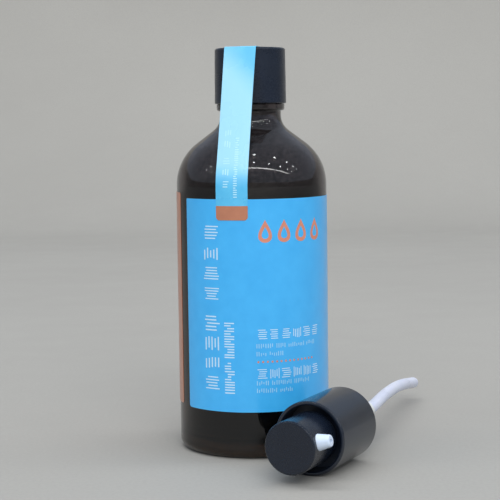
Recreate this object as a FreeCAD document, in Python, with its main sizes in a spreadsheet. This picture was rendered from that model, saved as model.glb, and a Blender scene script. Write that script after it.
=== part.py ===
import FreeCAD, Part
import math
import os

from FreeCAD import Placement, Rotation, Vector
from Sketcher import Constraint as constraint

# Pump oil bottle set: a capped amber glass bottle with its labels and seal strip, and the
# treatment pump that replaces the cap, lying on its side next to the bottle. The bottle's
# axis is Z, the surface it stands on is z = 0, and the middle of the front label's print
# faces roughly -Y. All sizes are in millimetres and degrees.

# ----------------------------------------------------------------- driving dimensions

DIMENSIONS = {
    # bottle glass
    "body_radius": 22.5,
    "glass_wall": 2.2,
    "base_thickness": 3.6,
    "punt_radius": 16.0,
    "punt_depth": 1.4,
    "heel_radius": 2.8,
    "shoulder_height": 86.8,
    "shoulder_slope": 0.75,
    "shoulder_blend": 15.6,
    "neck_radius": 9.08,
    "neck_blend": 5.5,
    "bead_radius": 10.15,
    "bead_bottom": 101.0,
    "bead_top": 103.0,
    "bead_round": 0.7,
    "finish_radius": 7.9,
    "neck_top": 116.9,
    "neck_bore": 5.25,
    "lip_round": 0.5,
    # screw thread shared by the neck, the cap and the pump closure
    "thread_pitch": 3.2,
    "thread_start": 106.0,
    "neck_thread_rise": 6.4,
    "cap_thread_rise": 4.8,
    "ridge_crest": 8.9,
    "groove_crest": 8.12,
    "ridge_root_half": 0.6,
    "ridge_crest_half": 0.3,
    "ridge_drop": 1.03,
    "ridge_sunk": 0.3,
    # small roundings and gaps that many pieces share
    "edge_round": 0.3,
    "stack_gap": 0.05,
    # screw cap
    "cap_radius": 10.5,
    "cap_draft": 0.18,
    "cap_bore": 9.15,
    "cap_bottom": 103.1,
    "cap_top": 119.5,
    "cap_roof": 1.5,
    "cap_edge_round": 0.7,
    "liner_radius": 8.9,
    "liner_gap": 0.02,
    # labels
    "label_gap": 0.02,
    "label_film": 0.1,
    "front_label_bottom": 14.0,
    "front_label_top": 75.7,
    "front_label_from": -147.5,
    "front_label_sweep": 160.0,
    "back_label_bottom": 14.2,
    "back_label_top": 77.2,
    "back_label_from": 24.0,
    "back_label_sweep": 177.0,
    # seal strip
    "strip_width": 9.5,
    "strip_film": 0.12,
    "strip_bottom": 69.7,
    "strip_bend": 81.2,
    "strip_blend": 15.7,
    "strip_top": 119.42,
    "strip_top_reach": 10.62,
    "strip_set_back": 0.15,
    "strip_azimuth": -105.0,
    # pump, in its own frame: z = 0 where the neck's lip would press on the gasket
    "sleeve_radius": 10.5,
    "sleeve_seat": 9.78,
    "sleeve_mouth": 9.3,
    "sleeve_bottom": -13.6,
    "sleeve_top": 10.0,
    "sleeve_round": 0.5,
    "closure_radius": 9.72,
    "closure_bore": 9.1,
    "closure_bottom": -12.9,
    "deck_bottom": 2.15,
    "deck_top": 3.35,
    "deck_hole": 3.95,
    "gasket_radius": 8.0,
    "gasket_bore": 4.45,
    "gasket_film": 0.9,
    "flange_radius": 7.9,
    "flange_bottom": 0.95,
    "flange_top": 2.1,
    "barrel_radius": 4.4,
    "barrel_bore": 3.3,
    "socket_radius": 3.8,
    "socket_floor": -3.2,
    "barrel_floor": -18.8,
    "valve_bore": 2.0,
    "seat_top": -21.5,
    "seat_bottom": -22.4,
    "inlet_radius": 1.1,
    "spigot_radius": 2.95,
    "spigot_top": -21.0,
    "spigot_bottom": -31.6,
    "spigot_shoulder": 2.0,
    "tube_stop": -23.4,
    "turret_radius": 3.78,
    "turret_flange": 5.6,
    "turret_flange_bottom": 3.4,
    "turret_flange_top": 4.2,
    "turret_tower": 3.9,
    "turret_top": 7.4,
    "turret_bore": 2.5,
    "stem_radius": 2.4,
    "stem_bore": 1.2,
    "stem_bottom": -7.0,
    "stem_top": 15.0,
    "piston_radius": 3.25,
    "piston_waist": 2.95,
    "piston_bore": 2.43,
    "piston_bottom": -8.0,
    "piston_top": -3.3,
    "piston_mouth": 0.8,
    "lower_lip": 1.4,
    "upper_lip": 1.2,
    "rod_radius": 1.15,
    "rod_flange": 2.6,
    "rod_bottom": -9.7,
    "rod_shoulder": -8.9,
    "rod_top": -1.0,
    "rod_round": 0.4,
    "spring_radius": 2.7,
    "spring_wire": 0.3,
    "spring_turns": 6.0,
    "ball_radius": 1.6,
    "ball_height": -21.2,
    "button_radius": 7.45,
    "button_wall": 1.0,
    "button_roof": 1.4,
    "button_bottom": 8.2,
    "button_top": 22.9,
    "button_round": 0.6,
    "button_inner_round": 0.5,
    "boss_radius": 3.7,
    "boss_bore": 2.44,
    "boss_bottom": 11.2,
    "boss_floor": 15.1,
    "outlet_rise": 3.0,
    "nozzle_height": 19.0,
    "nozzle_start": 2.3,
    "nozzle_shank": 2.3,
    "nozzle_shank_inset": 0.2,
    "nozzle_tip": 1.6,
    "nozzle_tip_round": 0.45,
    "nozzle_reach": 10.85,
    "nozzle_bore": 0.5,
    "nozzle_fit": 0.02,
    "tube_radius": 1.85,
    "tube_bore": 1.3,
    "tube_fit": 0.03,
    # where the pump lies
    "pump_azimuth": 26.7,
    "pump_east": 19.41,
    "pump_north": -33.28,
    "button_swivel": 12.5,
}

# The dip tube's route: distance behind the sleeve's bottom rim, then sideways towards
# the bottle and upwards from the pump's axis.
TUBE_ROUTE = [
    (9.9, 0.0, 0.0),
    (22.0, 0.0, 0.0),
    (43.0, 3.6, 0.4),
    (63.8, 7.5, -1.0),
    (78.3, 10.0, -2.8),
    (91.2, 12.0, -4.8),
]
ARC_SHARE = 0.45
SWEEP_TOLERANCE = 0.01


class Size:
    """A number together with the spreadsheet expression that gives it."""

    def __init__(self, value, text):
        self.value = value
        self.text = text

    @staticmethod
    def of(number):
        if isinstance(number, Size):
            return number
        return Size(float(number), f"{float(number)}")

    def join(self, other, sign, value):
        return Size(value, f"({self.text} {sign} {other.text})")

    def __add__(self, other):
        other = Size.of(other)
        return self.join(other, "+", self.value + other.value)

    def __sub__(self, other):
        other = Size.of(other)
        return self.join(other, "-", self.value - other.value)

    def __mul__(self, other):
        other = Size.of(other)
        return self.join(other, "*", self.value * other.value)

    def __truediv__(self, other):
        other = Size.of(other)
        return self.join(other, "/", self.value / other.value)

    def __neg__(self):
        return Size(-self.value, f"(0 - {self.text})")


class Sizes:
    """The spreadsheet of driving dimensions, read as attributes."""

    def __init__(self, doc, dimensions):
        self.sheet = doc.addObject("Spreadsheet::Sheet", "Sizes")
        for row, (alias, value) in enumerate(dimensions.items(), start=1):
            self.sheet.set(f"A{row}", alias)
            self.sheet.set(f"B{row}", str(value))
            self.sheet.setAlias(f"B{row}", alias)
        doc.recompute()

    def __getattr__(self, alias):
        return Size(float(self.sheet.get(alias)), f"Sizes.{alias}")


doc = FreeCAD.newDocument("PumpOilBottle")
size = Sizes(doc, DIMENSIONS)
subparts = []


# ----------------------------------------------------------------- building blocks

def new_body(label, placement=None):
    """A PartDesign body that will be written out as one sub-part."""
    body = doc.addObject("PartDesign::Body", label)
    body.Label = label
    if placement is not None:
        body.Placement = placement
    subparts.append(body)
    return body


def sketch_on(body, role, name):
    """An empty sketch on one of the body's origin planes."""
    sketch = body.newObject("Sketcher::SketchObject", name)
    plane = next(f for f in body.Origin.OriginFeatures if f.Role == role)
    sketch.AttachmentSupport = [(plane, "")]
    sketch.MapMode = "FlatFace"
    return sketch


def bind(sketch, kind, *where, size_value):
    """A dimension in a sketch whose value comes from the spreadsheet."""
    index = sketch.addConstraint(constraint(kind, *where, size_value.value))
    sketch.setExpression(f"Constraints[{index}]", size_value.text)


def pin(sketch, geometry, end, x, y):
    """Fix one end of a piece of geometry at (x, y) from the sketch's origin."""
    for kind, coordinate in (("DistanceX", x), ("DistanceY", y)):
        bind(sketch, kind, -1, 1, geometry, end, size_value=coordinate)


def tangent_points(before, corner, after, radius):
    """Where an arc of this radius meets the two straight sides of a corner, and its middle."""
    to_before = (before - corner).normalize()
    to_after = (after - corner).normalize()
    half = to_before.getAngle(to_after) / 2
    reach = radius / math.tan(half)
    bisector = (to_before + to_after).normalize()
    middle = corner + bisector * (radius / math.sin(half) - radius)
    return corner + to_before * reach, middle, corner + to_after * reach


def corner_arc(ends, radius, turns_left):
    """The arc that rounds a corner, always counterclockwise, as a sketch stores it."""
    start, middle, end = ends
    chord_middle = (start + end) / 2
    centre = middle + (chord_middle - middle).normalize() * radius
    if not turns_left:
        start, end = end, start
    first = math.atan2(start.y - centre.y, start.x - centre.x)
    last = math.atan2(end.y - centre.y, end.x - centre.x)
    if last < first:
        last += 2 * math.pi
    return Part.ArcOfCircle(Part.Circle(centre, Vector(0, 0, 1), radius), first, last)


def outline(sketch, corners):
    """A closed outline of straight sides. A corner is (x, y) or (x, y, radius), in Sizes."""
    corners = [[Size.of(number) for number in corner] for corner in corners]
    places = [Vector(corner[0].value, corner[1].value, 0) for corner in corners]
    count = len(corners)
    ends = []
    for i, corner in enumerate(corners):
        if len(corner) == 3:
            after = places[(i + 1) % count]
            ends.append(tangent_points(places[i - 1], places[i], after, corner[2].value))
        else:
            ends.append((places[i], places[i], places[i]))
    sides = []
    for i in range(count):
        segment = Part.LineSegment(ends[i][2], ends[(i + 1) % count][0])
        sides.append(sketch.addGeometry(segment))
    for i, corner in enumerate(corners):
        into, out = sides[i - 1], sides[i]
        if len(corner) == 2:
            sketch.addConstraint(constraint("Coincident", into, 2, out, 1))
            pin(sketch, out, 1, corner[0], corner[1])
            continue
        onwards = places[(i + 1) % count] - places[i]
        turns_left = (places[i] - places[i - 1]).cross(onwards).z > 0
        arc = sketch.addGeometry(corner_arc(ends[i], corner[2].value, turns_left))
        first, last = (1, 2) if turns_left else (2, 1)
        sketch.addConstraint(constraint("Tangent", into, 2, arc, first))
        sketch.addConstraint(constraint("Tangent", out, 1, arc, last))
        bind(sketch, "Radius", arc, size_value=corner[2])
        tip = sketch.addGeometry(Part.Point(places[i]), True)
        pin(sketch, tip, 1, corner[0], corner[1])
        sketch.addConstraint(constraint("PointOnObject", tip, 1, into))
        sketch.addConstraint(constraint("PointOnObject", tip, 1, out))


def revolve(body, corners, sweep=None):
    """Turn an (r, z) outline round the body's Z axis, all the way or through sweep degrees."""
    sketch = sketch_on(body, "XZ_Plane", "Section")
    outline(sketch, corners)
    turned = body.newObject("PartDesign::Revolution", "Turned")
    turned.Profile = sketch
    turned.ReferenceAxis = (sketch, ["V_Axis"])
    turned.Angle = 360
    if sweep is not None:
        turned.setExpression("Angle", sweep.text)
    doc.recompute()
    return turned


def add_thread(body, root, crest, start, rise):
    """A right-hand trapezoid ridge that winds up the body's Z axis."""
    sketch = sketch_on(body, "XZ_Plane", "Ridge")
    foot, tip = size.ridge_root_half, size.ridge_crest_half
    outline(sketch, [(root, start - foot), (root, start + foot), (crest, start + tip), (crest, start - tip)])
    helix = body.newObject("PartDesign::AdditiveHelix", "Thread")
    helix.Profile = sketch
    helix.ReferenceAxis = (sketch, ["V_Axis"])
    helix.Mode = 0
    helix.setExpression("Pitch", size.thread_pitch.text)
    helix.setExpression("Height", rise.text)
    doc.recompute()


def in_pump_frame(turn=0.0):
    """The placement that lays a pump piece on its side: its axis level, its sleeve on the floor."""
    azimuth = math.radians(size.pump_azimuth.value)
    sideways = Vector(math.cos(azimuth), -math.sin(azimuth), 0)
    upwards = Vector(0, 0, 1)
    to_button = Vector(-math.sin(azimuth), -math.cos(azimuth), 0)
    lying = Rotation(sideways, upwards, to_button, "ZXY")
    origin = Vector(size.pump_east.value, size.pump_north.value, size.sleeve_radius.value)
    return Placement(origin, lying.multiply(Rotation(Vector(0, 0, 1), turn)))


# ----------------------------------------------------------------- bottle

def glass_bottle():
    """Amber glass with a punt, a sloped shoulder, a bead and a threaded finish."""
    s = size
    body = new_body("glass_bottle")
    inner = s.body_radius - s.glass_wall
    drop = s.glass_wall * math.hypot(1, s.shoulder_slope.value)
    neck_meets = s.shoulder_height + s.shoulder_slope * (s.body_radius - s.neck_radius)
    bore_meets = s.shoulder_height + s.shoulder_slope * (s.body_radius - s.neck_bore) - drop
    inner_shoulder = s.shoulder_height + s.shoulder_slope * s.glass_wall - drop
    revolve(body, [
        (0, s.punt_depth),
        (s.punt_radius - s.punt_depth, s.punt_depth, s.punt_depth),
        (s.punt_radius, 0),
        (s.body_radius, 0, s.heel_radius),
        (s.body_radius, s.shoulder_height, s.shoulder_blend),
        (s.neck_radius, neck_meets, s.neck_blend),
        (s.neck_radius, s.bead_bottom, s.edge_round),
        (s.bead_radius, s.bead_bottom, s.bead_round),
        (s.bead_radius, s.bead_top, s.edge_round),
        (s.finish_radius, s.bead_top),
        (s.finish_radius, s.neck_top, s.lip_round),
        (s.neck_bore, s.neck_top, s.lip_round),
        (s.neck_bore, bore_meets, s.neck_blend + s.glass_wall),
        (inner, inner_shoulder, s.shoulder_blend - s.glass_wall),
        (inner, s.base_thickness, s.heel_radius + s.glass_wall),
        (0, s.base_thickness),
    ])
    add_thread(body, s.finish_radius - s.ridge_sunk, s.ridge_crest, s.thread_start, s.neck_thread_rise)


def screw_cap():
    """The plain black cap: a thin tapered shell with a ridge that runs under the neck's ridge."""
    s = size
    body = new_body("cap_shell")
    revolve(body, [
        (0, s.cap_top - s.cap_roof),
        (s.cap_bore, s.cap_top - s.cap_roof),
        (s.cap_bore, s.cap_bottom),
        (s.cap_radius + s.cap_draft, s.cap_bottom, s.edge_round),
        (s.cap_radius, s.cap_top, s.cap_edge_round),
        (0, s.cap_top),
    ])
    ridge = s.thread_start - s.ridge_drop
    add_thread(body, s.cap_bore + s.ridge_sunk, s.groove_crest, ridge, s.cap_thread_rise)
    liner = new_body("cap_liner")
    revolve(liner, [
        (0, s.neck_top + s.liner_gap),
        (s.liner_radius, s.neck_top + s.liner_gap),
        (s.liner_radius, s.cap_top - s.cap_roof),
        (0, s.cap_top - s.cap_roof),
    ])


def label(name, bottom, top, start, sweep):
    """A label: a thin film wrapped part of the way round the glass."""
    s = size
    body = new_body(name)
    body.setExpression("Placement.Rotation.Angle", start.text)
    inside = s.body_radius + s.label_gap
    outside = inside + s.label_film
    revolve(body, [(inside, bottom), (outside, bottom), (outside, top), (inside, top)], sweep)


def strip_tail(name, azimuth):
    """The seal strip on one side: stuck to the wall, then taut up to the cap's top edge."""
    s = size
    body = new_body(name, Placement(Vector(), Rotation(Vector(0, 0, 1), azimuth)))
    inside = s.body_radius + s.label_gap * 2 + s.label_film
    sketch = sketch_on(body, "XZ_Plane", "Side")
    outline(sketch, [
        (inside, s.strip_bottom),
        (inside + s.strip_film, s.strip_bottom),
        (inside + s.strip_film, s.strip_bend, s.strip_blend + s.strip_film),
        (s.strip_top_reach + s.strip_film, s.strip_top),
        (s.strip_top_reach, s.strip_top),
        (inside, s.strip_bend, s.strip_blend),
    ])
    pad = body.newObject("PartDesign::Pad", "Width")
    pad.Profile = sketch
    pad.Midplane = True
    pad.setExpression("Length", s.strip_width.text)


def strip_over_cap():
    """The seal strip's stretch across the top of the cap."""
    s = size
    turn = Rotation(Vector(0, 0, 1), s.strip_azimuth.value)
    body = new_body("seal_strip_top", Placement(Vector(), turn))
    reach = s.cap_radius - s.strip_set_back
    bottom = s.cap_top + s.label_gap
    sketch = sketch_on(body, "XZ_Plane", "Side")
    outline(sketch, [
        (-reach, bottom),
        (reach, bottom),
        (reach, bottom + s.strip_film),
        (-reach, bottom + s.strip_film),
    ])
    pad = body.newObject("PartDesign::Pad", "Width")
    pad.Profile = sketch
    pad.Midplane = True
    pad.setExpression("Length", s.strip_width.text)


# ----------------------------------------------------------------- pump

def pump_closure():
    """The outer sleeve and the threaded closure that it is pressed over."""
    s = size
    sleeve = new_body("collar_sleeve", in_pump_frame())
    step = s.deck_top + s.stack_gap
    revolve(sleeve, [
        (s.sleeve_seat, s.sleeve_bottom),
        (s.sleeve_radius, s.sleeve_bottom, s.edge_round),
        (s.sleeve_radius, s.sleeve_top, s.sleeve_round),
        (s.sleeve_mouth, s.sleeve_top, s.sleeve_round),
        (s.sleeve_mouth, step),
        (s.sleeve_seat, step),
    ])
    closure = new_body("threaded_closure", in_pump_frame())
    revolve(closure, [
        (s.deck_hole, s.deck_bottom),
        (s.closure_bore, s.deck_bottom),
        (s.closure_bore, s.closure_bottom),
        (s.closure_radius, s.closure_bottom),
        (s.closure_radius, s.deck_top),
        (s.deck_hole, s.deck_top),
    ])
    ridge = s.thread_start - s.neck_top - s.ridge_drop
    add_thread(closure, s.closure_bore + s.ridge_sunk, s.groove_crest, ridge, s.cap_thread_rise)
    gasket = new_body("neck_gasket", in_pump_frame())
    revolve(gasket, [
        (s.gasket_bore, 0),
        (s.gasket_radius, 0),
        (s.gasket_radius, s.gasket_film),
        (s.gasket_bore, s.gasket_film),
    ])


def pump_housing():
    """The pump's cylinder: mouth flange, barrel, inlet valve seat and tube socket."""
    s = size
    body = new_body("pump_housing", in_pump_frame())
    tube_seat = s.tube_radius + s.tube_fit
    revolve(body, [
        (s.socket_radius, s.flange_top),
        (s.flange_radius, s.flange_top),
        (s.flange_radius, s.flange_bottom),
        (s.barrel_radius, s.flange_bottom),
        (s.barrel_radius, s.spigot_top + s.spigot_shoulder),
        (s.spigot_radius, s.spigot_top),
        (s.spigot_radius, s.spigot_bottom, s.edge_round),
        (tube_seat, s.spigot_bottom),
        (tube_seat, s.tube_stop),
        (s.inlet_radius, s.tube_stop),
        (s.inlet_radius, s.seat_bottom),
        (s.valve_bore, s.seat_top),
        (s.valve_bore, s.barrel_floor),
        (s.barrel_bore, s.barrel_floor),
        (s.barrel_bore, s.socket_floor),
        (s.socket_radius, s.socket_floor),
    ])
    turret = new_body("stem_retainer", in_pump_frame())
    foot = s.socket_floor + s.stack_gap
    revolve(turret, [
        (s.turret_bore, foot),
        (s.turret_radius, foot),
        (s.turret_radius, s.turret_flange_bottom),
        (s.turret_flange, s.turret_flange_bottom),
        (s.turret_flange, s.turret_flange_top, s.edge_round),
        (s.turret_tower, s.turret_flange_top),
        (s.turret_tower, s.turret_top, s.edge_round),
        (s.turret_bore, s.turret_top),
    ])


def pump_plunger():
    """What the button pushes down: the hollow stem, its piston and the rod inside it."""
    s = size
    stem = new_body("pump_stem", in_pump_frame())
    revolve(stem, [
        (s.stem_bore, s.stem_bottom),
        (s.stem_radius, s.stem_bottom),
        (s.stem_radius, s.stem_top, s.edge_round),
        (s.stem_bore, s.stem_top),
    ])
    piston = new_body("pump_piston", in_pump_frame())
    revolve(piston, [
        (s.piston_bore, s.piston_bottom + s.piston_mouth),
        (s.piston_waist, s.piston_bottom),
        (s.piston_radius, s.piston_bottom),
        (s.piston_waist, s.piston_bottom + s.lower_lip),
        (s.piston_waist, s.piston_top - s.upper_lip),
        (s.piston_radius, s.piston_top),
        (s.piston_bore, s.piston_top),
    ])
    rod = new_body("piston_rod", in_pump_frame())
    revolve(rod, [
        (0, s.rod_bottom),
        (s.rod_flange, s.rod_bottom),
        (s.rod_flange, s.rod_shoulder),
        (s.rod_radius, s.rod_shoulder),
        (s.rod_radius, s.rod_top, s.rod_round),
        (0, s.rod_top),
    ])


def return_spring():
    """The open coil that pushes the plunger back up."""
    s = size
    body = new_body("return_spring", in_pump_frame())
    sketch = sketch_on(body, "XZ_Plane", "Wire")
    low = s.barrel_floor + s.spring_wire
    centre = Vector(s.spring_radius.value, low.value, 0)
    wire = sketch.addGeometry(Part.Circle(centre, Vector(0, 0, 1), s.spring_wire.value))
    pin(sketch, wire, 3, s.spring_radius, low)
    bind(sketch, "Radius", wire, size_value=s.spring_wire)
    helix = body.newObject("PartDesign::AdditiveHelix", "Coil")
    helix.Profile = sketch
    helix.ReferenceAxis = (sketch, ["V_Axis"])
    helix.Mode = 2
    rise = s.rod_bottom - s.barrel_floor - s.spring_wire * 2
    helix.setExpression("Height", rise.text)
    helix.setExpression("Turns", s.spring_turns.text)
    doc.recompute()


def inlet_ball():
    """The steel ball on the inlet's seat."""
    s = size
    ball = doc.addObject("Part::Sphere", "inlet_ball")
    ball.Label = "inlet_ball"
    ball.setExpression("Radius", s.ball_radius.text)
    ball.Placement = in_pump_frame().multiply(Placement(Vector(0, 0, s.ball_height.value), Rotation()))
    subparts.append(ball)


def actuator_button():
    """The button: a cup with a boss for the stem and a side hole for the nozzle insert."""
    s = size
    body = new_body("actuator_button", in_pump_frame(s.button_swivel.value))
    under = s.button_top - s.button_roof
    inside = s.button_radius - s.button_wall
    outlet_top = s.boss_floor + s.outlet_rise
    revolve(body, [
        (0, outlet_top),
        (s.stem_bore, outlet_top),
        (s.stem_bore, s.boss_floor),
        (s.boss_bore, s.boss_floor),
        (s.boss_bore, s.boss_bottom),
        (s.boss_radius, s.boss_bottom),
        (s.boss_radius, under),
        (inside, under, s.button_inner_round),
        (inside, s.button_bottom),
        (s.button_radius, s.button_bottom, s.edge_round),
        (s.button_radius, s.button_top, s.button_round),
        (0, s.button_top),
    ])
    sketch = sketch_on(body, "YZ_Plane", "NozzleHole")
    middle = Vector(0, s.nozzle_height.value, 0)
    hole = s.nozzle_shank + s.nozzle_fit
    ring = sketch.addGeometry(Part.Circle(middle, Vector(0, 0, 1), hole.value))
    pin(sketch, ring, 3, Size.of(0), s.nozzle_height)
    bind(sketch, "Radius", ring, size_value=hole)
    pocket = body.newObject("PartDesign::Pocket", "NozzleBore")
    pocket.Profile = sketch
    pocket.setExpression("Length", (s.button_radius + s.button_wall).text)
    pocket.Reversed = True
    solid_before = body.Shape.Volume
    doc.recompute()
    through_the_wall = math.pi * hole.value ** 2 * s.button_wall.value
    if solid_before - body.Shape.Volume < through_the_wall:
        raise RuntimeError("the nozzle hole was not cut")


def nozzle_insert():
    """The white spout that is pressed into the button's side."""
    s = size
    lay_out = Placement(Vector(0, 0, s.nozzle_height.value), Rotation(Vector(0, 1, 0), 90))
    body = new_body("nozzle_insert", in_pump_frame(s.button_swivel.value).multiply(lay_out))
    revolve(body, [
        (s.nozzle_bore, s.nozzle_start),
        (s.nozzle_shank, s.nozzle_start),
        (s.nozzle_shank, s.button_radius - s.nozzle_shank_inset),
        (s.nozzle_tip, s.nozzle_reach, s.nozzle_tip_round),
        (s.nozzle_bore, s.nozzle_reach),
    ])


def tube_wire(points):
    """Straight runs joined by tangent arcs, through a list of corner points."""
    edges = []
    here = points[0]
    for i in range(1, len(points) - 1):
        before, corner, after = points[i - 1], points[i], points[i + 1]
        shorter = min((corner - before).Length, (after - corner).Length)
        half_turn = (corner - before).getAngle(after - corner) / 2
        radius = ARC_SHARE * shorter / math.tan(half_turn)
        start, middle, end = tangent_points(before, corner, after, radius)
        print(f"dip tube bend {i}: radius {radius:.0f} mm")
        edges.append(Part.LineSegment(here, start).toShape())
        edges.append(Part.Arc(start, middle, end).toShape())
        here = end
    edges.append(Part.LineSegment(here, points[-1]).toShape())
    return Part.Wire(edges)


def swept(path, radius):
    """A round bar of this radius along the path."""
    first = path.Edges[0]
    start = first.valueAt(first.FirstParameter)
    along = first.tangentAt(first.FirstParameter)
    ring = Part.Wire([Part.Circle(start, along, radius).toShape()])
    bar = path.makePipeShell([ring], True, True)
    expected = math.pi * radius ** 2 * path.Length
    if abs(bar.Volume - expected) > SWEEP_TOLERANCE * expected:
        raise RuntimeError("the dip tube's sweep has the wrong volume")
    return bar


def dip_tube():
    """The translucent tube, with the set that it keeps from being coiled."""
    s = size
    rim = s.sleeve_bottom.value
    points = []
    for behind, sideways, upwards in TUBE_ROUTE:
        points.append(Vector(-sideways, upwards, rim - behind))
    path = tube_wire(points)
    tube = doc.addObject("Part::Feature", "dip_tube")
    tube.Label = "dip_tube"
    tube.Shape = swept(path, s.tube_radius.value).cut(swept(path, s.tube_bore.value))
    tube.Placement = in_pump_frame()
    subparts.append(tube)


# ----------------------------------------------------------------- assembly and export

glass_bottle()
screw_cap()
label("front_label", size.front_label_bottom, size.front_label_top,
      size.front_label_from, size.front_label_sweep)
label("back_label", size.back_label_bottom, size.back_label_top,
      size.back_label_from, size.back_label_sweep)
strip_tail("seal_strip_front", size.strip_azimuth.value)
strip_tail("seal_strip_back", size.strip_azimuth.value + 180)
strip_over_cap()
pump_closure()
pump_housing()
pump_plunger()
return_spring()
inlet_ball()
actuator_button()
nozzle_insert()
dip_tube()
doc.recompute()

for item in doc.Objects:
    if "Invalid" in item.State or "Error" in item.State:
        raise RuntimeError(f"{item.Name} did not recompute: {item.State}")

os.makedirs("parts", exist_ok=True)
for part in subparts:
    if part.Shape.isNull() or not part.Shape.isValid():
        raise RuntimeError(f"{part.Label} has no valid shape")
    part.Shape.exportStep(f"parts/{part.Label}.step")
    box = part.Shape.BoundBox
    print(f"{part.Label}: {part.Shape.Volume:.1f} mm3, solids {len(part.Shape.Solids)}, "
          f"z {box.ZMin:.2f} to {box.ZMax:.2f}")
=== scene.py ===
# The looks of the pump oil bottle. The CAD model gives every shape and place; this script
# gives each piece its material, rebuilds the paper-thin labels and the seal strip with
# their print, and sets up the backdrop, the lights and the camera.
import math
import random

import bpy
from mathutils import Matrix, Vector


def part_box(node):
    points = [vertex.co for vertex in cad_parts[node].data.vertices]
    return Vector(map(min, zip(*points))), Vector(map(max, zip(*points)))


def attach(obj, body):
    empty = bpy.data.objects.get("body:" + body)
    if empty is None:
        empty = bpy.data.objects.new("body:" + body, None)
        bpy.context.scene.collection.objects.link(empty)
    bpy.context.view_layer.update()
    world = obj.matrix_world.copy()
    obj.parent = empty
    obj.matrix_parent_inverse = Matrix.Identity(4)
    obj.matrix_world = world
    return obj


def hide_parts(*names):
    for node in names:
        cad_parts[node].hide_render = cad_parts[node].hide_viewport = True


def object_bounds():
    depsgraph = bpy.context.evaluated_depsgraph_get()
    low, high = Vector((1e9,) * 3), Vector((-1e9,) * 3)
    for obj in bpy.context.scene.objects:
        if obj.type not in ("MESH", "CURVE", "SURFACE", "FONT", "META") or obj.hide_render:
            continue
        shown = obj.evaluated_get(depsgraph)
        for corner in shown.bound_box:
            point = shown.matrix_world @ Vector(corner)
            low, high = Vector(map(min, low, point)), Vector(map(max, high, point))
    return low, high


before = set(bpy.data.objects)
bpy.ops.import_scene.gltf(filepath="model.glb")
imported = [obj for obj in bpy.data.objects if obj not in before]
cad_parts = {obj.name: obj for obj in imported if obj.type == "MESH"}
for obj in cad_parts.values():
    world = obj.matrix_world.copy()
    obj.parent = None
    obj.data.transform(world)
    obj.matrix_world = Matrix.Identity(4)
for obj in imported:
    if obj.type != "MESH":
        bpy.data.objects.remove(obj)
cad_low, cad_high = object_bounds()

MM = 0.001


# ------------------------------------------------------------------ materials

def srgb(red, green, blue):
    """A colour given as 0-255 screen values, as the linear RGBA that shaders use."""
    def linear(value):
        painted_light = value / 255
        return painted_light / 12.92 if painted_light <= 0.04045 else ((painted_light + 0.055) / 1.055) ** 2.4
    return (linear(red), linear(green), linear(blue), 1.0)


GLASS_DARK = (0.018, 0.010, 0.006, 1)
GLASS_LIGHT = (0.028, 0.015, 0.009, 1)
# painted sheen: a pale grainy haze mixed into the glass's colour over the shoulder and neck, for the
# light the shoulder catches
PAINTED_SHEEN = (0.125, 0.105, 0.108, 1)
PAINTED_SHEEN_FROM = (77 * MM, 87 * MM)             # heights between which the painted sheen on the glass sets in
CLEAR_UNDER_SHEEN = 0.82                    # share of the glass that stays clear where the sheen is painted
BLUE_BLACK = (0.8, 1.3, 2.5)               # the black plastics' cast
LABEL_BLUE = srgb(66, 182, 246)
LABEL_BLUE_DEEP = srgb(59, 175, 241)
STRIP_BLUE = srgb(96, 196, 240)
STRIP_BLUE_DEEP = srgb(84, 186, 234)
# painted light: the strip's paler colour where it stands free, for its sheen and the light coming
# through it
STRIP_PAINTED_LIGHT = srgb(162, 219, 245)
STRIP_FREE_FROM = (81 * MM, 89 * MM)       # heights between which the strip leaves the glass and its painted light sets in
STRIP_DEEP_CORNER = (105 * MM, 121 * MM)   # height plus x, over which the painted light fades out at the top corner
COPPER = srgb(188, 124, 94)
COPPER_DEEP = srgb(179, 116, 88)
PRINT_WHITE = srgb(200, 228, 248)
PRINT_WHITE_THIN = srgb(190, 222, 242)
PRINT_PALE = srgb(190, 235, 250)
PRINT_PALE_THIN = srgb(178, 228, 248)
PRINT_SOFT = srgb(158, 210, 244)
PRINT_SOFT_THIN = srgb(146, 202, 238)
PRINT_COPPER = srgb(218, 142, 116)
PRINT_COPPER_THIN = srgb(208, 132, 108)


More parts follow.
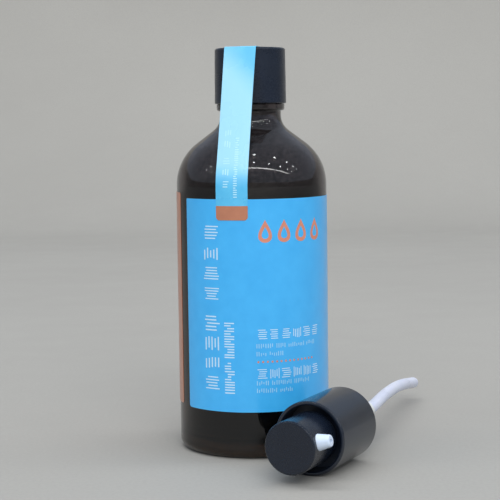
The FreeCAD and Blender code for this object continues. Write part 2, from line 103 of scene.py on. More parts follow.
class Look:
    """One Principled material, with short calls for the nodes that vary it over the surface."""

    def __init__(self, name, **constants):
        self.material = bpy.data.materials.new(name)
        self.material.use_nodes = True
        self.tree = self.material.node_tree
        self.surface = self.tree.nodes["Principled BSDF"]
        for socket, value in constants.items():
            self.surface.inputs[socket.replace("_", " ")].default_value = value
        self.place = self.node("ShaderNodeTexCoord").outputs["Object"]
        self.last_colour = None
        self.last_bump = None

    def node(self, kind, **settings):
        made = self.tree.nodes.new(kind)
        for key, value in settings.items():
            setattr(made, key, value)
        return made

    def join(self, source, socket):
        self.tree.links.new(source, socket)

    def stretched(self, along_x, along_y, along_z):
        """Coordinates scaled so that a pattern is longer where the number is smaller."""
        mapping = self.node("ShaderNodeMapping")
        mapping.inputs["Scale"].default_value = (along_x, along_y, along_z)
        self.join(self.place, mapping.inputs["Vector"])
        return mapping.outputs["Vector"]

    def height(self, grain, waver, detail=3.0):
        """Height above the floor, which wavers by up to `waver` metres in lumps of `grain`."""
        split = self.node("ShaderNodeSeparateXYZ")
        self.join(self.place, split.inputs["Vector"])
        ripple = self.combine("MULTIPLY", self.noise(grain, detail), waver)
        return split, self.combine("ADD", split.outputs["Z"], ripple)

    def noise(self, grain, detail=3.0, roughness=0.5, source=None):
        """Cloudy noise whose lumps are about `grain` metres across."""
        noise = self.node("ShaderNodeTexNoise")
        noise.inputs["Scale"].default_value = 1 / grain
        noise.inputs["Detail"].default_value = detail
        noise.inputs["Roughness"].default_value = roughness
        self.join(source or self.place, noise.inputs["Vector"])
        return noise.outputs["Fac"]

    def specks(self, spacing):
        """Distance from the nearest of many scattered points, in shares of their spacing."""
        cells = self.node("ShaderNodeTexVoronoi")
        cells.inputs["Scale"].default_value = 1 / spacing
        self.join(self.place, cells.inputs["Vector"])
        return cells.outputs["Distance"]

    def remap(self, source, from_low, from_high, to_low, to_high, smooth=False):
        """Carries one range of values over to another, and holds it past the ends."""
        kind = "SMOOTHSTEP" if smooth else "LINEAR"
        ranges = self.node("ShaderNodeMapRange", interpolation_type=kind)
        numbers = (from_low, from_high, to_low, to_high)
        for socket, value in zip(("From Min", "From Max", "To Min", "To Max"), numbers):
            ranges.inputs[socket].default_value = value
        self.join(source, ranges.inputs["Value"])
        return ranges.outputs["Result"]

    def combine(self, operation, first, second):
        """Arithmetic on two values, each a socket or a plain number."""
        maths = self.node("ShaderNodeMath", operation=operation)
        for socket, value in zip(maths.inputs, (first, second)):
            if isinstance(value, (int, float)):
                socket.default_value = value
            else:
                self.join(value, socket)
        return maths.outputs["Value"]

    def colour(self, painted_light, low, high, on_surface=True):
        """Mixes two colours by a share from 0 to 1. The latest mix on the surface is what shows."""
        mix = self.node("ShaderNodeMix", data_type="RGBA")
        for socket, value in (("Factor_Float", painted_light), ("A_Color", low), ("B_Color", high)):
            entry = next(i for i in mix.inputs if i.identifier == socket)
            if isinstance(value, tuple):
                entry.default_value = value
            else:
                self.join(value, entry)
        self.last_colour = next(o for o in mix.outputs if o.identifier == "Result_Color")
        if on_surface:
            self.join(self.last_colour, self.surface.inputs["Base Color"])
        return self.last_colour

    def roughness(self, source, low, high):
        """Lets a noise vary the roughness between two values."""
        self.join(self.remap(source, 0.3, 0.7, low, high), self.surface.inputs["Roughness"])

    def bump(self, height, distance, strength=1.0):
        """Adds relief, `distance` metres high. Calls stack on each other."""
        bump = self.node("ShaderNodeBump")
        bump.inputs["Strength"].default_value = strength
        bump.inputs["Distance"].default_value = distance
        self.join(height, bump.inputs["Height"])
        if self.last_bump is not None:
            self.join(self.last_bump, bump.inputs["Normal"])
        self.last_bump = bump.outputs["Normal"]
        self.join(self.last_bump, self.surface.inputs["Normal"])


def amber_glass():
    """Very dark amber glass with faint moulding waves and two mould seams. Over the shoulder
    and the neck a grainy pale haze is painted into its colour and clarity, as painted sheen."""
    look = Look("amber_glass", IOR=1.52)
    split, height = look.height(12 * MM, 8 * MM)
    # painted sheen: paler, less clear glass from the shoulder up, broken into fine grains
    shoulder_share = look.remap(height, *PAINTED_SHEEN_FROM, 0.0, 1.0, smooth=True)
    haze_grains = look.remap(look.noise(0.9 * MM, detail=6.0), 0.35, 0.65, 0.5, 1.0)
    sheen_haze = look.combine("MULTIPLY", shoulder_share, haze_grains)
    glass = look.colour(look.noise(14 * MM), GLASS_DARK, GLASS_LIGHT, on_surface=False)
    look.colour(sheen_haze, glass, PAINTED_SHEEN)
    clear = look.remap(sheen_haze, 0.0, 1.0, 1.0, CLEAR_UNDER_SHEEN)
    look.join(clear, look.surface.inputs["Transmission Weight"])
    look.roughness(look.noise(5 * MM, detail=4.0), 0.02, 0.05)
    look.bump(look.noise(11 * MM, detail=1.0, source=look.stretched(1, 1, 0.5)), 0.05 * MM, 0.5)
    # the mould's halves met on the bottle's left and right sides, in the plane y = 0
    off_seam = look.combine("ABSOLUTE", split.outputs["Y"], 0.0)
    look.bump(look.remap(off_seam, 0.04 * MM, 0.22 * MM, 1.0, 0.0, smooth=True), 0.05 * MM, 0.6)
    return look.material


def moulded(name, dark, light, smooth, rough, **constants):
    """Injection-moulded plastic: fine orange peel, cloudy gloss and a little handling haze."""
    look = Look(name, **constants)
    look.colour(look.remap(look.noise(9 * MM, detail=4.0), 0.3, 0.7, 0.0, 1.0), dark, light)
    cloud = look.combine("MULTIPLY", look.noise(6 * MM, detail=5.0), look.noise(0.5 * MM, detail=2.0))
    look.join(look.remap(cloud, 0.12, 0.38, smooth, rough), look.surface.inputs["Roughness"])
    look.bump(look.noise(0.7 * MM, detail=2.0), 0.004 * MM, 0.7)
    look.bump(look.noise(14 * MM, detail=1.0), 0.02 * MM, 0.4)
    return look.material


def printed_film(name, dark, light, smooth, rough, **constants):
    """Coated label film: even ink with slight mottling over a very finely pebbled face."""
    look = Look(name, **constants)
    mottle = look.remap(look.noise(3.5 * MM, detail=6.0), 0.3, 0.7, 0.0, 1.0)
    look.colour(mottle, dark, light)
    look.roughness(look.noise(7 * MM, detail=5.0), smooth, rough)
    look.bump(look.noise(0.25 * MM, detail=2.0), 0.0015 * MM, 0.6)
    look.bump(look.noise(8 * MM, detail=1.0, source=look.stretched(1, 1, 0.35)), 0.03 * MM, 0.35)
    return look


def seal_film():
    """The seal strip's thin film, deep blue, with painted light: a paler colour where it
    stands free, for its sheen and the light getting through it, fading out at the top corner."""
    look = printed_film("strip_film", STRIP_BLUE_DEEP, STRIP_BLUE, 0.24, 0.34,
                        Coat_Weight=0.3, Coat_Roughness=0.3)
    split, height = look.height(9 * MM, 5 * MM, detail=2.0)
    corner = look.combine("ADD", height, split.outputs["X"])
    # painted light: pale where the strip stands free, less so towards the top corner
    free_lit = look.remap(height, *STRIP_FREE_FROM, 0.0, 1.0, smooth=True)
    corner_fade = look.remap(corner, *STRIP_DEEP_CORNER, 1.0, 0.15, smooth=True)
    painted_light = look.combine("MULTIPLY", free_lit, corner_fade)
    look.colour(painted_light, look.last_colour, STRIP_PAINTED_LIGHT)
    return look.material


def spring_steel():
    """Drawn steel wire: fine lines along the coil and slightly uneven polish."""
    look = Look("spring_steel", Metallic=1.0)
    look.colour(look.noise(1.5 * MM), (0.42, 0.42, 0.43, 1), (0.62, 0.62, 0.60, 1))
    look.roughness(look.noise(0.3 * MM, detail=4.0), 0.2, 0.38)
    look.bump(look.noise(0.12 * MM, source=look.stretched(1, 1, 6)), 0.004 * MM, 0.5)
    return look.material


def foam():
    """Expanded PE sheet with fine closed cells."""
    look = Look("liner_foam", Subsurface_Weight=0.15, Subsurface_Scale=0.5 * MM)
    look.colour(look.noise(2 * MM), (0.62, 0.62, 0.60, 1), (0.74, 0.74, 0.72, 1))
    look.roughness(look.noise(1 * MM), 0.55, 0.75)
    look.bump(look.specks(0.35 * MM), 0.03 * MM, 0.8)
    return look.material


def natural_plastic(name, dark, light, smooth, rough, through, depth=0.5 * MM):
    """Unpigmented plastic that light soaks into."""
    return moulded(name, dark, light, smooth, rough, Subsurface_Weight=through,
                   Subsurface_Scale=depth, Subsurface_Radius=(1.0, 0.9, 0.8), IOR=1.5)


def black_plastic(name, level, smooth, rough, **constants):
    """Near-black plastic with a blue cast; the cloudy parts are half as bright again."""
    dark = tuple(level * painted_light for painted_light in BLUE_BLACK) + (1,)
    light = tuple(1.5 * level * painted_light for painted_light in BLUE_BLACK) + (1,)
    return moulded(name, dark, light, smooth, rough, **constants)


blue_film = printed_film("blue_film", LABEL_BLUE_DEEP, LABEL_BLUE, 0.34, 0.46,
                         Coat_Weight=0.6, Coat_Roughness=0.16).material
copper_film = printed_film("copper_film", COPPER_DEEP, COPPER, 0.38, 0.5,
                           Coat_Weight=0.6, Coat_Roughness=0.16).material
strip_film = seal_film()
white_ink = printed_film("white_ink", PRINT_WHITE_THIN, PRINT_WHITE, 0.4, 0.55).material
pale_ink = printed_film("pale_ink", PRINT_PALE_THIN, PRINT_PALE, 0.3, 0.42).material
soft_ink = printed_film("soft_ink", PRINT_SOFT_THIN, PRINT_SOFT, 0.4, 0.55).material
copper_ink = printed_film("copper_ink", PRINT_COPPER_THIN, PRINT_COPPER, 0.4, 0.55).material

CAD_LOOKS = {
    "glass_bottle": amber_glass(),
    "cap_shell": black_plastic("cap_black", 0.0085, 0.24, 0.36, Specular_IOR_Level=0.46),
    "cap_liner": foam(),
    "collar_sleeve": black_plastic("collar_black", 0.007, 0.14, 0.22, Specular_IOR_Level=0.7),
    "threaded_closure": black_plastic("closure_black", 0.012, 0.34, 0.48),
    "neck_gasket": natural_plastic(
        "gasket_pe", (0.70, 0.70, 0.68, 1), (0.78, 0.78, 0.76, 1), 0.4, 0.55, 0.3),
    "pump_housing": natural_plastic(
        "housing_pp", (0.66, 0.67, 0.66, 1), (0.76, 0.77, 0.76, 1), 0.3, 0.42, 0.4),
    "stem_retainer": black_plastic("turret_black", 0.010, 0.3, 0.45),
    "pump_stem": natural_plastic(
        "stem_pp", (0.70, 0.70, 0.68, 1), (0.80, 0.80, 0.78, 1), 0.28, 0.4, 0.3),
    "piston_rod": natural_plastic(
        "rod_pp", (0.68, 0.68, 0.68, 1), (0.78, 0.78, 0.77, 1), 0.28, 0.4, 0.3),
    "pump_piston": natural_plastic(
        "piston_pe", (0.72, 0.72, 0.68, 1), (0.82, 0.82, 0.78, 1), 0.35, 0.5, 0.4),
    "actuator_button": black_plastic("button_black", 0.006, 0.22, 0.34),
    "nozzle_insert": natural_plastic(
        "nozzle_white", (0.60, 0.70, 0.84, 1), (0.68, 0.77, 0.90, 1), 0.3, 0.42, 0.25),
    "dip_tube": natural_plastic(
        "tube_pe", (0.60, 0.63, 0.77, 1), (0.66, 0.69, 0.83, 1), 0.25, 0.4, 0.5, 1.5 * MM),
}
CAD_LOOKS["return_spring"] = CAD_LOOKS["inlet_ball"] = spring_steel()

for node, look in CAD_LOOKS.items():
    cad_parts[node].material_slots[0].material = look


# ------------------------------------------------------------------ thin sheets

SMOOTH_UNDER = math.radians(28)            # sharper folds of a sheet keep a hard edge


class Sheets:
    """Thin closed sheets gathered into one mesh. Each is bent onto a surface by
    place(across, up, depth), which gives a point in the row frame."""

    def __init__(self):
        self.points = []
        self.faces = []

    def sheet(self, place, left, right, bottom, top, thickness, round_bottom=0.0, round_top=0.0,
              step=1.2 * MM, rise=4 * MM):
        """A rectangle whose lower and upper corners can be rounded."""
        middle, half = (left + right) / 2, (right - left) / 2
        columns = self.columns(half, step, max(round_bottom, round_top))
        rows = max(1, math.ceil((top - bottom) / rise))
        first = len(self.points)
        for depth in (thickness, 0.0):
            for across in columns:
                low = bottom + self.lift(half - abs(across), round_bottom)
                high = top - self.lift(half - abs(across), round_top)
                for row in range(rows + 1):
                    up = low + (high - low) * row / rows
                    self.points.append(place(middle + across, up, depth))
        self.grid(first, len(columns), rows + 1)

    def columns(self, half, step, radius):
        """Positions across, closer together where a corner is rounded."""
        radius = min(radius, half)
        inner = half - radius
        count = max(1, math.ceil(2 * inner / step))
        flat = [-inner + 2 * inner * i / count for i in range(count + 1)] if inner > 0 else [0.0]
        if radius == 0:
            return flat
        turns = 7
        curved = [radius * math.sin(math.pi / 2 * i / turns) for i in range(1, turns + 1)]
        return [-inner - c for c in reversed(curved)] + flat + [inner + c for c in curved]

    def lift(self, from_edge, radius):
        """How far a rounded corner draws the sheet's end in, this far from its side."""
        if from_edge >= radius:
            return 0.0
        return radius - math.sqrt(max(radius ** 2 - (radius - from_edge) ** 2, 0.0))

    def grid(self, first, columns, rows):
        """Faces of a closed sheet whose outer points come first, column by column."""
        inner = first + columns * rows

        def at(layer, column, row):
            return layer + column * rows + row

        for c in range(columns - 1):
            for r in range(rows - 1):
                self.faces.append((at(first, c, r), at(first, c + 1, r),
                                   at(first, c + 1, r + 1), at(first, c, r + 1)))
                self.faces.append((at(inner, c, r), at(inner, c, r + 1),
                                   at(inner, c + 1, r + 1), at(inner, c + 1, r)))
        rim = [(c, 0) for c in range(columns)]
        rim += [(columns - 1, r) for r in range(1, rows)]
        rim += [(c, rows - 1) for c in range(columns - 2, -1, -1)]
        rim += [(0, r) for r in range(rows - 2, 0, -1)]
        for (c, r), (next_c, next_r) in zip(rim, rim[1:] + rim[:1]):
            self.faces.append((at(inner, c, r), at(inner, next_c, next_r),
                               at(first, next_c, next_r), at(first, c, r)))

    def ring(self, place, outer, inner, thickness):
        """A flat band between two closed outlines with the same number of (across, up) points."""
        count = len(outer)
        first = len(self.points)
        for depth in (thickness, 0.0):
            for outline in (outer, inner):
                self.points += [place(across, up, depth) for across, up in outline]
        top_out, top_in, low_out, low_in = (first + count * i for i in range(4))
        for i in range(count):
            j = (i + 1) % count
            self.faces.append((top_out + i, top_out + j, top_in + j, top_in + i))
            self.faces.append((low_out + j, low_out + i, low_in + i, low_in + j))
            self.faces.append((top_out + j, top_out + i, low_out + i, low_out + j))
            self.faces.append((top_in + i, top_in + j, low_in + j, low_in + i))

    def build(self, name, material, body, replaces=()):
        """Makes the gathered sheets one piece that rides on a body."""
        mesh = bpy.data.meshes.new(name)
        mesh.from_pydata(self.points, [], self.faces)
        mesh.validate()
        mesh.polygons.foreach_set("use_smooth", [True] * len(mesh.polygons))
        mesh.set_sharp_from_angle(angle=SMOOTH_UNDER)
        mesh.materials.append(material)
        piece = bpy.data.objects.new(name, mesh)
        bpy.context.scene.collection.objects.link(piece)
        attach(piece, body)
        if replaces:
            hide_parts(*replaces)


# ------------------------------------------------------------------ label layout

INK = 0.02 * MM                            # how far the print stands off the film
OFF_GLASS = 0.02 * MM                      # the film's gap to what it is stuck on


def on_wall(radius, start):
    """Places on the bottle's wall: metres round it from azimuth `start`, where 0 is -Y and
    the positive way is towards +X, then height, then distance off the wall."""
    def place(across, up, depth):
        turn = start + across / radius
        reach = radius + depth
        return Vector((reach * math.sin(turn), -reach * math.cos(turn), up))
    return place


def raised(place, height):
    """The same places, this much further off the wall."""
    return lambda across, up, depth: place(across, up, depth + height)


def mark(sheets, place, left, bottom, width, height, strokes, upright, luck):
    """An abstract printed mark: parallel strokes of uneven length, side by side."""
    span, length = (width, height) if upright else (height, width)
    pitch = span / strokes
    thick = pitch * 0.4
    for i in range(strokes):
        start = luck.uniform(0, 0.22) * length
        end = length - luck.uniform(0, 0.22) * length
        near = i * pitch + (pitch - thick) / 2
        if upright:
            sheets.sheet(place, left + near, left + near + thick, bottom + start, bottom + end, INK)
        else:
            sheets.sheet(place, left + start, left + end, bottom + near, bottom + near + thick, INK)


def tick_row(sheets, place, left, right, bottom, height, luck, thick=0.32 * MM, pitch=0.62 * MM):
    """A line of small print, as upright ticks of uneven height with gaps between words."""
    across = left
    in_word = 0
    word = luck.randint(5, 11)
    while across + thick <= right:
        lift = luck.choice((0.0, 0.0, 0.0, 0.25)) * height
        drop = luck.choice((0.0, 0.0, 0.3)) * height
        sheets.sheet(place, across, across + thick, bottom + lift, bottom + height - drop, INK)
        across += pitch * luck.uniform(0.9, 1.15)
        in_word += 1
        if in_word == word:
            across += pitch * 1.1
            in_word, word = 0, luck.randint(5, 11)


def tick_column(sheets, place, left, width, bottom, top, luck, thick=0.42 * MM, pitch=0.84 * MM):
    """Small print that runs up the label, as level ticks stacked on each other."""
    up = bottom
    while up + thick <= top:
        inset = luck.choice((0.0, 0.0, 0.0, 0.3)) * width
        short = luck.choice((0.0, 0.0, 0.35)) * width
        sheets.sheet(place, left + inset, left + width - short, up, up + thick, INK)
        up += pitch * luck.uniform(0.92, 1.1)


def drop_outline(middle, height, width, low, turns=40):
    """An oil drop standing on its round end: (across, up) points, counterclockwise."""
    points = []
    for i in range(turns):
        angle = 2 * math.pi * (i + 0.5) / turns
        points.append((middle - width * 0.65 * math.sin(angle) * math.sin(angle / 2) ** 1.5,
                       low + height * (1 + math.cos(angle)) / 2))
    return points


# The front label's layout, in millimetres: across from its left edge, and heights above the floor.
COLUMN_LEFT, COLUMN_WIDTH = 7.3, 5.3
COLUMN_MARKS = ((64.0, 4.3), (58.1, 3.6), (52.3, 4.0), (46.5, 3.8),     # each mark's foot and
                (37.3, 4.9), (31.8, 4.3), (26.5, 3.4), (20.2, 4.2))     # its own height
UPRIGHT_LEFT, UPRIGHT_WIDTH = 14.0, 3.0
UPRIGHT_PRINT = ((19.4, 28.9), (29.8, 40.3))       # foot and top of each run beside the column
ROW_LEFT, ROW_PITCH, ROW_MARK = 23.5, 3.66, 3.1    # the marks of a row: first, spacing, size
ROW_FEET = (35.2, 23.7)
SMALL_PRINT_LEFT, SMALL_PRINT_HEIGHT = 23.4, 1.3
SMALL_PRINT = ((32.7, 44.1), (30.4, 31.4), (21.9, 41.5), (19.7, 34.8))  # foot and right end
DROP_MIDDLES = (26.3, 32.0, 37.7, 43.6)
DROP, DROP_HOLLOW = (6.6, 4.4, 63.2), (3.5, 2.2, 64.3)     # height, width and foot of each outline
DOTS, DOT_FIRST, DOT_PITCH, DOT_FOOT, DOT_SIDE = 14, 23.6, 1.37, 28.4, 0.62


def front_label():
    """The blue film with its print: abstract marks, ticks, oil drops and a row of dots."""
    low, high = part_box("front_label")
    outside = high.x
    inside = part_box("glass_bottle")[1].x + OFF_GLASS
    start, end = math.asin(low.x / outside), math.acos(-high.y / outside)
    place = on_wall(inside, start)
    length = (end - start) * inside
    film = Sheets()
    film.sheet(place, 0, length, low.z, high.z, outside - inside, 0.9 * MM, 0.5 * MM)
    film.build("front_label_film", blue_film, "bottle", ["front_label"])

    luck = random.Random(11)
    face = raised(place, outside - inside)
    white = Sheets()
    for foot, tall in COLUMN_MARKS:
        mark(white, face, COLUMN_LEFT * MM, foot * MM, COLUMN_WIDTH * MM, tall * MM,
             5, luck.random() < 0.4, luck)
    for foot, head in UPRIGHT_PRINT:
        tick_column(white, face, UPRIGHT_LEFT * MM, UPRIGHT_WIDTH * MM, foot * MM, head * MM,
                    luck, thick=0.36 * MM, pitch=0.78 * MM)
    # the two blocks on the right are a row of marks over two lines of small print
    size = ROW_MARK * MM
    for foot in ROW_FEET:
        for column in range(6):
            left = (ROW_LEFT + ROW_PITCH * column) * MM
            mark(white, face, left, foot * MM, size, size, 5, luck.random() < 0.5, luck)
    white.build("front_label_print", white_ink, "bottle")
    small = Sheets()
    for foot, right in SMALL_PRINT:
        tick_row(small, face, SMALL_PRINT_LEFT * MM, right * MM, foot * MM,
                 SMALL_PRINT_HEIGHT * MM, luck, thick=0.27 * MM)
    small.build("front_label_small_print", soft_ink, "bottle")

    copper = Sheets()
    for across in DROP_MIDDLES:
        outer, hollow = (drop_outline(across * MM, height * MM, width * MM, foot * MM)
                         for height, width, foot in (DROP, DROP_HOLLOW))
        copper.ring(face, outer, hollow, INK)
    dot, up = DOT_SIDE * MM, DOT_FOOT * MM
    for i in range(DOTS):
        left = (DOT_FIRST + DOT_PITCH * i) * MM
        copper.sheet(face, left, left + dot, up, up + dot, INK, dot / 2, dot / 2)
    copper.build("front_label_drops", copper_ink, "bottle")


def rounded_square(left, bottom, side, radius, turns=6):
    """The outline of a square with rounded corners, counterclockwise."""
    points = []
    corners = ((side - radius, radius, -90), (side - radius, side - radius, 0),
               (radius, side - radius, 90), (radius, radius, 180))
    for across, up, first in corners:
        for i in range(turns + 1):
            angle = math.radians(first + 90 * i / turns)
            points.append((left + across + radius * math.cos(angle),
                           bottom + up + radius * math.sin(angle)))
    return points


def back_label():
    """The copper film with a row of marks, a block of small print and three framed signs."""
    low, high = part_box("back_label")
    outside = high.y
    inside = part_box("glass_bottle")[1].x + OFF_GLASS
    start = math.pi / 2 + math.acos(high.x / outside)
    end = 2 * math.pi - math.acos(-low.y / outside)
    place = on_wall(inside, start)
    length = (end - start) * inside
    film = Sheets()
    film.sheet(place, 0, length, low.z, high.z, outside - inside, 0.9 * MM, 0.9 * MM)
    film.build("back_label_film", copper_film, "bottle", ["back_label"])

    luck = random.Random(23)
    face = raised(place, outside - inside)
    white = Sheets()
    left, right = 13 * MM, length - 13 * MM
    for column in range(6):
        at = left + 5.2 * column * MM
        mark(white, face, at, 67.5 * MM, 3.8 * MM, 4.0 * MM, 4, luck.random() < 0.5, luck)
    foot = 63.0
    for line in range(13):
        # every fourth line ends a paragraph: it is shorter, and a wider gap follows
        ends_paragraph = line % 4 == 3
        reach = right - luck.uniform(8, 18) * MM if ends_paragraph else right
        tick_row(white, face, left, reach, foot * MM, 1.3 * MM, luck, pitch=0.7 * MM)
        foot -= 3.9 if ends_paragraph else 2.7
    side = 6.0 * MM
    for i in range(3):
        at = left + i * 8.2 * MM
        frame_outer = rounded_square(at, 17.2 * MM, side, 1.2 * MM)
        frame_inner = rounded_square(at + 0.45 * MM, 17.65 * MM, side - 0.9 * MM, 0.75 * MM)
        white.ring(face, frame_outer, frame_inner, INK)
        mark(white, face, at + 1.4 * MM, 18.6 * MM, 3.2 * MM, 3.2 * MM, 3, i == 1, luck)
    white.build("back_label_print", white_ink, "bottle")


# ------------------------------------------------------------------ seal strip

STRIP_AZIMUTH = math.radians(-15)
STRIP_BEND = 81.2 * MM                     # height where the wall's line meets the free stretch's
STRIP_BLEND = 15.7 * MM                    # radius of the bend there
STRIP_WIDTH = 9.5 * MM
STRIP_FILM = 0.12 * MM
STRIP_END_BLOCK = 4.1 * MM                 # height of the copper block at the lower end
STRIP_MARKS = (9.2, 12.6, 16.0, 21.0, 24.4)        # the marks' feet, mm up from the lower end
CAP_TAPER = 0.18 * MM                      # the cap's radius at its foot, less that at its top
TURNED_DOWN = math.radians(70)             # how far the strip's top stretch bends at its ends


class StripPath:
    """The strip's line in a plane through the bottle's axis, as (reach, height): up the wall,
    over the start of the shoulder, then straight to the cap's top edge."""

    def __init__(self, wall, bottom, bend, blend, end):
        corner = Vector((wall, bend))
        self.slope = (Vector(end) - corner).normalized()
        self.turn = Vector((0, 1)).angle(self.slope)
        back = blend * math.tan(self.turn / 2)
        self.wall, self.bottom, self.blend = wall, bottom, blend
        self.centre = Vector((wall - blend, bend - back))
        self.up_wall = bend - back - bottom
        self.up_arc = self.up_wall + blend * self.turn
        self.leave = self.centre + blend * Vector((math.cos(self.turn), math.sin(self.turn)))
        self.length = self.up_arc + (Vector(end) - self.leave).length

    def at(self, up):
        """The point this far up the strip, and the direction away from the bottle there."""
        if up <= self.up_wall:
            return Vector((self.wall, self.bottom + up)), Vector((1, 0))
        if up <= self.up_arc:
            angle = (up - self.up_wall) / self.blend
            away = Vector((math.cos(angle), math.sin(angle)))
            return self.centre + away * self.blend, away
        away = Vector((math.cos(self.turn), math.sin(self.turn)))
        return self.leave + self.slope * (up - self.up_arc), away

    def place(self, azimuth, twist):
        """Places on this strip: metres across, metres up from its lower end, and depth.
        Its lower part hugs the round wall, and it flattens towards the cap."""
        outward = Vector((math.sin(azimuth), -math.cos(azimuth), 0))
        sideways = Vector((math.cos(azimuth), math.sin(azimuth), 0))

        def point(across, up, depth):
            line, away = self.at(up)
            free_lit = min(max((up - self.up_arc) / (self.length - self.up_arc), 0.0), 1.0)
            hug = 1 - free_lit * free_lit * (3 - 2 * free_lit)
            tilt = twist * math.sin(math.pi * free_lit) * across / (STRIP_WIDTH / 2)
            reach, height = line + away * (depth + tilt)
            turn = across / self.wall
            side = across + (self.wall * math.sin(turn) - across) * hug
            out = reach - self.wall * (1 - math.cos(turn)) * hug
            return outward * out + sideways * side + Vector((0, 0, height))
        return point


def strip_tail(node, azimuth, twist, printed):
    """One hanging side of the seal strip, with its copper end block."""
    low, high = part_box(node)
    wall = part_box("front_label")[1].x + OFF_GLASS
    # clear of the cap's foot, its widest part, which passes the strip on the way up
    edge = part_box("cap_shell")[1].x + 0.10 * MM
    path = StripPath(wall, low.z, STRIP_BEND, STRIP_BLEND, (edge, high.z))
    place = path.place(azimuth, twist)
    half = STRIP_WIDTH / 2
    top = path.length - 0.03 * MM
    film = Sheets()
    film.sheet(place, -half, half, STRIP_END_BLOCK, top, STRIP_FILM, step=0.8 * MM, rise=1.2 * MM)
    film.build(node + "_film", strip_film, "bottle", [node])
    block = Sheets()
    block.sheet(place, -half, half, 0, STRIP_END_BLOCK, STRIP_FILM, 1.0 * MM,
                step=0.8 * MM, rise=0.5 * MM)
    block.build(node + "_end", copper_film, "bottle")
    if printed:
        luck = random.Random(5)
        marks = Sheets()
        face = raised(place, STRIP_FILM)
        for foot in STRIP_MARKS:
            mark(marks, face, -2.9 * MM, foot * MM, 2.2 * MM, 2.2 * MM, 3, luck.random() < 0.5, luck)
        tick_column(marks, face, 0.6 * MM, 1.1 * MM, 6.5 * MM, 24.0 * MM, luck, 0.3 * MM, 0.66 * MM)
        marks.build(node + "_print", pale_ink, "bottle")


def strip_across_cap():
    """The strip over the cap's top, with its ends turned down over the edge."""
    low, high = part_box("seal_strip_top")
    outward = Vector((math.sin(STRIP_AZIMUTH), -math.cos(STRIP_AZIMUTH), 0))
    sideways = Vector((math.cos(STRIP_AZIMUTH), math.sin(STRIP_AZIMUTH), 0))
    # the bend starts just inside the cap's top edge, so that its ends stay inside the two sides
    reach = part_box("cap_shell")[1].x - CAP_TAPER - 0.15 * MM
    lip = 0.32 * MM

    def place(across, up, depth):
        off = max(abs(up) - reach, 0.0)
        angle = off / lip
        out = math.copysign(min(abs(up), reach) + (lip + depth) * math.sin(angle), up)
        if off == 0:
            height = low.z + depth
        else:
            height = low.z - lip + (lip + depth) * math.cos(angle)
        return outward * out + sideways * across + Vector((0, 0, height))

    over = reach + lip * TURNED_DOWN
    half = STRIP_WIDTH / 2
    film = Sheets()
    film.sheet(place, -half, half, -over, over, high.z - low.z, step=0.8 * MM, rise=0.12 * MM)
    film.build("seal_strip_top_film", strip_film, "cap", ["seal_strip_top"])


front_label()
back_label()
strip_tail("seal_strip_front", STRIP_AZIMUTH, 0.25 * MM, True)
strip_tail("seal_strip_back", STRIP_AZIMUTH + math.pi, -0.15 * MM, False)
strip_across_cap()


# ------------------------------------------------------------------ floor and backdrop

ROOM_SIDE = 4.4                            # the level floor's reach to either side, in metres
ROOM_FRONT = -3.2
ROOM_BACK = 0.8
ROOM_CORNER = 0.6
COVE = 0.35                                # radius of the bend from the floor into the walls
ROOM_HEIGHT = 0.6
PAPER_DARK = (0.328, 0.316, 0.291, 1)
PAPER_LIGHT = (0.356, 0.344, 0.317, 1)


def floor_outline():
    """The level floor's rounded outline, as ((x, y), (outward x, outward y)), counterclockwise."""
    outline = []
    side, front, back, corner = ROOM_SIDE, ROOM_FRONT, ROOM_BACK, ROOM_CORNER
    corners = ((side - corner, back - corner, 0), (corner - side, back - corner, 90),
               (corner - side, front + corner, 180), (side - corner, front + corner, 270))
    turns = 10
    for x, y, first in corners:
        for i in range(turns + 1):
            angle = math.radians(first + 90 * i / turns)
            outward = (math.cos(angle), math.sin(angle))
            outline.append(((x + corner * outward[0], y + corner * outward[1]), outward))
    return outline


def backdrop():
    """A pale seamless sweep: a level floor that curves up into low walls all round."""
    look = Look("backdrop_paper")
    cloud = look.combine("MULTIPLY", look.noise(220 * MM, detail=6.0), look.noise(1.1 * MM, detail=4.0))
    look.colour(look.remap(cloud, 0.13, 0.37, 0.0, 1.0), PAPER_DARK, PAPER_LIGHT)
    look.roughness(look.noise(30 * MM), 0.75, 0.9)
    look.bump(look.noise(1.2 * MM, detail=3.0), 0.02 * MM, 0.5)
    look.bump(look.noise(60 * MM, source=look.stretched(0.25, 1, 1)), 0.6 * MM, 0.35)
    outline = floor_outline()
    count = len(outline)
    turns = 24
    profile = [(0.0, 0.0)]
    for i in range(1, turns + 1):
        angle = math.pi / 2 * i / turns
        profile.append((COVE * math.sin(angle), COVE * (1 - math.cos(angle))))
    profile.append((COVE, ROOM_HEIGHT))
    points = []
    for out, up in profile:
        points += [(x + out * outward_x, y + out * outward_y, up)
                   for (x, y), (outward_x, outward_y) in outline]
    faces = [tuple(range(count))]
    for level in range(len(profile) - 1):
        for i in range(count):
            j = (i + 1) % count
            low, high = level * count, (level + 1) * count
            faces.append((low + i, high + i, high + j, low + j))
    mesh = bpy.data.meshes.new("backdrop")
    mesh.from_pydata(points, [], faces)
    mesh.polygons.foreach_set("use_smooth", [True] * len(mesh.polygons))
    mesh.materials.append(look.material)
    sweep = bpy.data.objects.new("backdrop", mesh)
    bpy.context.scene.collection.objects.link(sweep)


backdrop()


# ------------------------------------------------------------------ lights

CEILING = 1.9
TUBE = Vector((1.85, -2.18, CEILING))      # middle of the long ceiling light across the front
LAMP_ROWS = (-0.6, -1.39)                  # y of the two rows of small ceiling lamps
LAMPS, LAMP_FIRST, LAMP_PITCH = 9, -3.48, 0.9      # how many in a row, x of the first, spacing
DAYLIGHT = (0.80, 0.93, 1.12, 1)

middle = (cad_low + cad_high) / 2


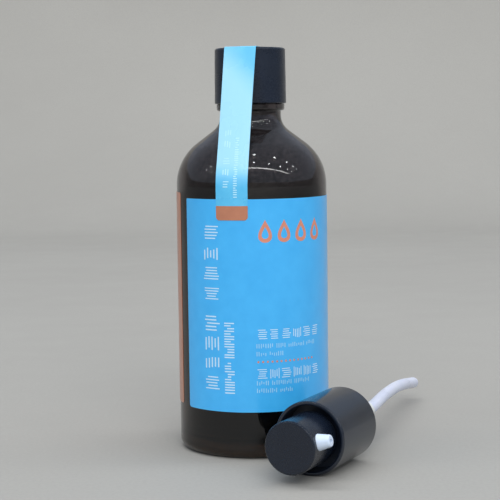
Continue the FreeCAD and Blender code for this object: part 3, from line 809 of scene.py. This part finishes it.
def seen_at(azimuth, elevation, distance):
    """A place this far from the object. Azimuth 0 is in front, on the -Y side; + is towards +X."""
    a, e = math.radians(azimuth), math.radians(elevation)
    direction = Vector((math.sin(a) * math.cos(e), -math.cos(a) * math.cos(e), math.sin(e)))
    return middle + direction * distance


def place_light(name, data, watts, place, away=None, mirrored=True):
    """Adds a light; `away` turns its face from that direction, and an unmirrored light
    brightens the object without showing up as a reflection."""
    data.energy = watts
    light = bpy.data.objects.new(name, data)
    light.location = place
    if away is not None:
        light.rotation_mode = "QUATERNION"
        light.rotation_quaternion = away.to_track_quat("Z", "Y")
    light.visible_glossy = mirrored
    light.visible_transmission = mirrored
    light.visible_camera = False
    bpy.context.scene.collection.objects.link(light)


def panel(name, place, target, width, height, watts, mirrored=False):
    """A rectangular light that faces `target`."""
    data = bpy.data.lights.new(name, "AREA")
    data.shape = "RECTANGLE"
    data.size, data.size_y = width, height
    place_light(name, data, watts, place, (place - target).normalized(), mirrored)


def lamp(name, place, radius, watts):
    """A small bare lamp, which shows as a dot in the glass."""
    data = bpy.data.lights.new(name, "POINT")
    data.shadow_soft_size = radius
    place_light(name, data, watts, place)


panel("front_softbox", seen_at(0, 33, 1.8), middle, 1.5, 0.9, 18.5)
panel("overhead", seen_at(180, 80, 1.9), middle, 2.2, 2.2, 6)
panel("ceiling_tube", TUBE, Vector((TUBE.x, 0, 0)), 4.3, 0.12, 18, mirrored=True)
for row, y in enumerate(LAMP_ROWS):
    for i in range(LAMPS):
        place = Vector((LAMP_PITCH * i + LAMP_FIRST, y, CEILING))
        lamp(f"ceiling_lamp_{row}_{i}", place, radius=0.045, watts=3.2)

# these two only brighten the low walls, which the glass and the black plastic reflect
panel("back_wash", Vector((0, 0.15, 1.6)), Vector((0, 1.1, 0.3)), 2.4, 0.4, 18)
panel("front_wash", Vector((0, -2.3, 1.5)), Vector((0, -3.4, 0.4)), 6.0, 0.3, 45)

world = bpy.data.worlds.new("studio")
world.use_nodes = True
background = world.node_tree.nodes["Background"]
background.inputs["Color"].default_value = DAYLIGHT
background.inputs["Strength"].default_value = 0.44
bpy.context.scene.world = world


# ------------------------------------------------------------------ camera

CAMERA_PLACE = (0, -429.124 * MM, 98.089 * MM)
YAW, PITCH, ROLL = math.radians(0.097), math.radians(5.185), math.radians(-0.76)


def camera():
    """Level with the cap, looking slightly down, on a long lens."""
    data = bpy.data.cameras.new("camera")
    data.sensor_width = 36.0
    data.lens = 102.74
    data.clip_start, data.clip_end = 0.01, 50.0
    view = bpy.data.objects.new("camera", data)
    turn = Matrix.Rotation(YAW, 4, "Z") @ Matrix.Rotation(math.pi / 2 - PITCH, 4, "X")
    turn = turn @ Matrix.Rotation(ROLL, 4, "Z")
    view.matrix_world = Matrix.Translation(CAMERA_PLACE) @ turn
    bpy.context.scene.collection.objects.link(view)
    bpy.context.scene.camera = view


camera()
bpy.context.scene.view_settings.view_transform = "Standard"
